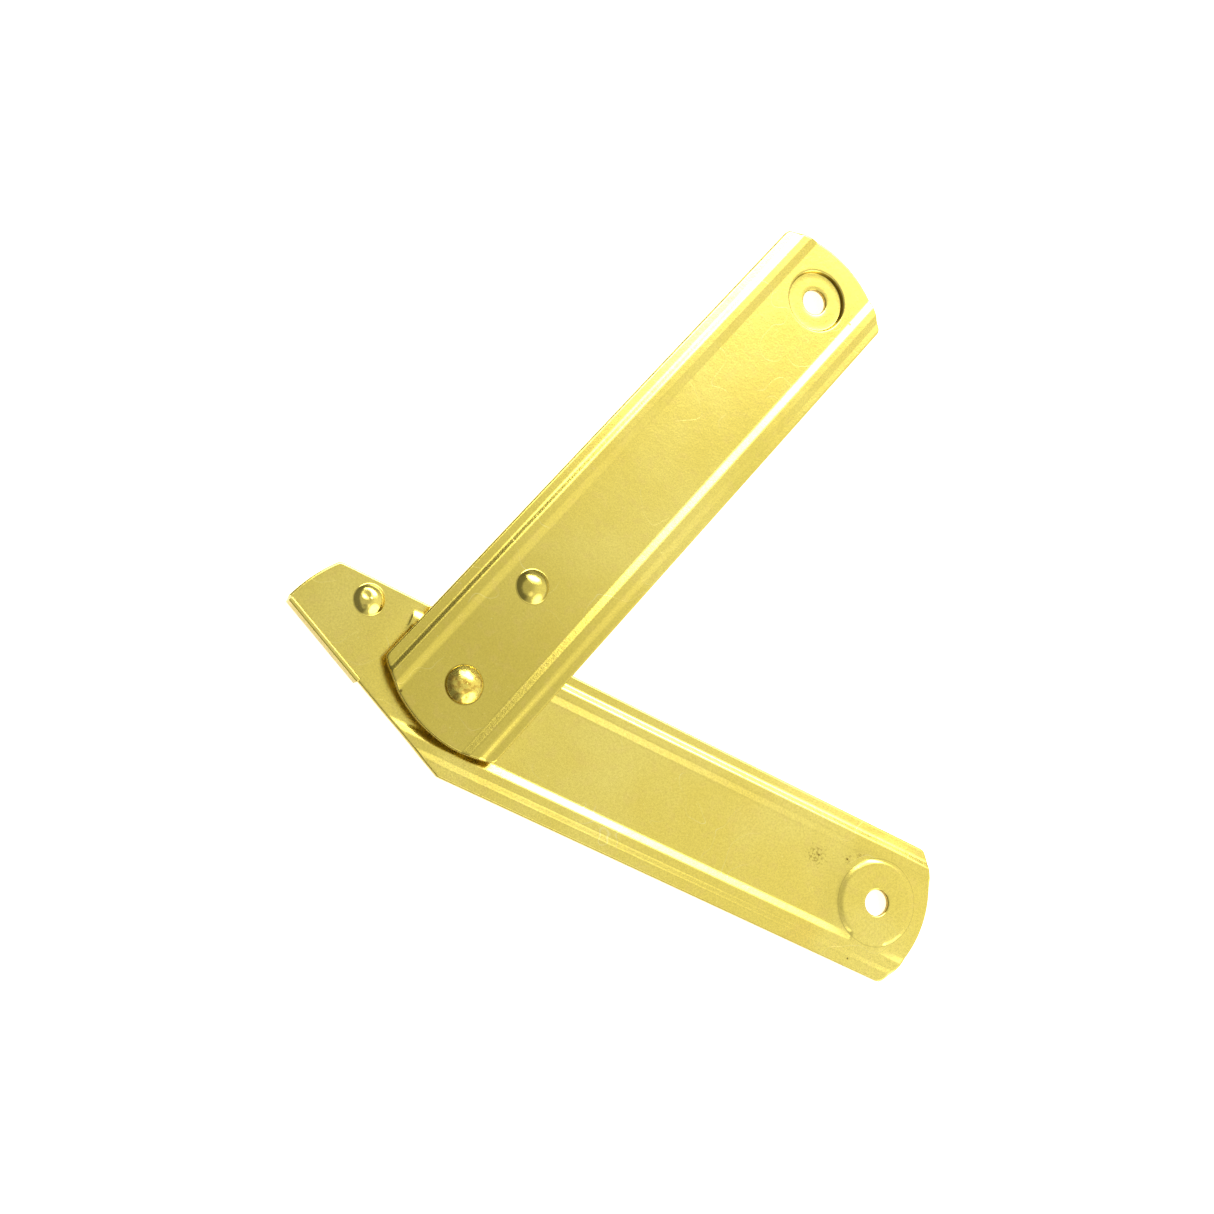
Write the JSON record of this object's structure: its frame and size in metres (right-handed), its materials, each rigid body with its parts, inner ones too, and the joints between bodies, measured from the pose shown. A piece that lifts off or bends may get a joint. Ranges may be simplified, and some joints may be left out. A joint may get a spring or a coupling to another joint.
{
  "type": "casement window stay",
  "caption": "Folding window stay: pressed steel arms swing on a riveted pivot and catch open against a bent stop on the tail.",
  "frame": {"origin": "centre of the lower arm's screw hole, on the underside of the raised seat round it", "axes": "+X along the lower arm, away from the rivet; +Z along the rivet and the screw holes, towards the upper arm and the rivet's domed head"},
  "size_m": [0.142, 0.1312, 0.0067],
  "materials": {
    "lower_arm_finish": "pressed steel sheet, yellow zinc passivated, satin",
    "upper_arm_finish": "pressed steel sheet, yellow zinc passivated, satin",
    "rivet_finish": "steel rivet, yellow zinc passivated, head marked by the riveting tool",
    "spacer_finish": "steel washer, yellow zinc passivated"
  },
  "bodies": {
    "lower_arm": {"lower_arm": "lower_arm_finish", "pivot_rivet": "rivet_finish", "spacer_washer": "spacer_finish"},
    "upper_arm": {"upper_arm": "upper_arm_finish"}
  },
  "joints": [
    {"name": "arm_pivot", "type": "hinge", "parent": "lower_arm", "child": "upper_arm", "pos_m": [-0.095, 0.0029, 0.00253], "axis": [0, 0, 1], "range_deg": [-70.5, 84.2]}
  ]
}
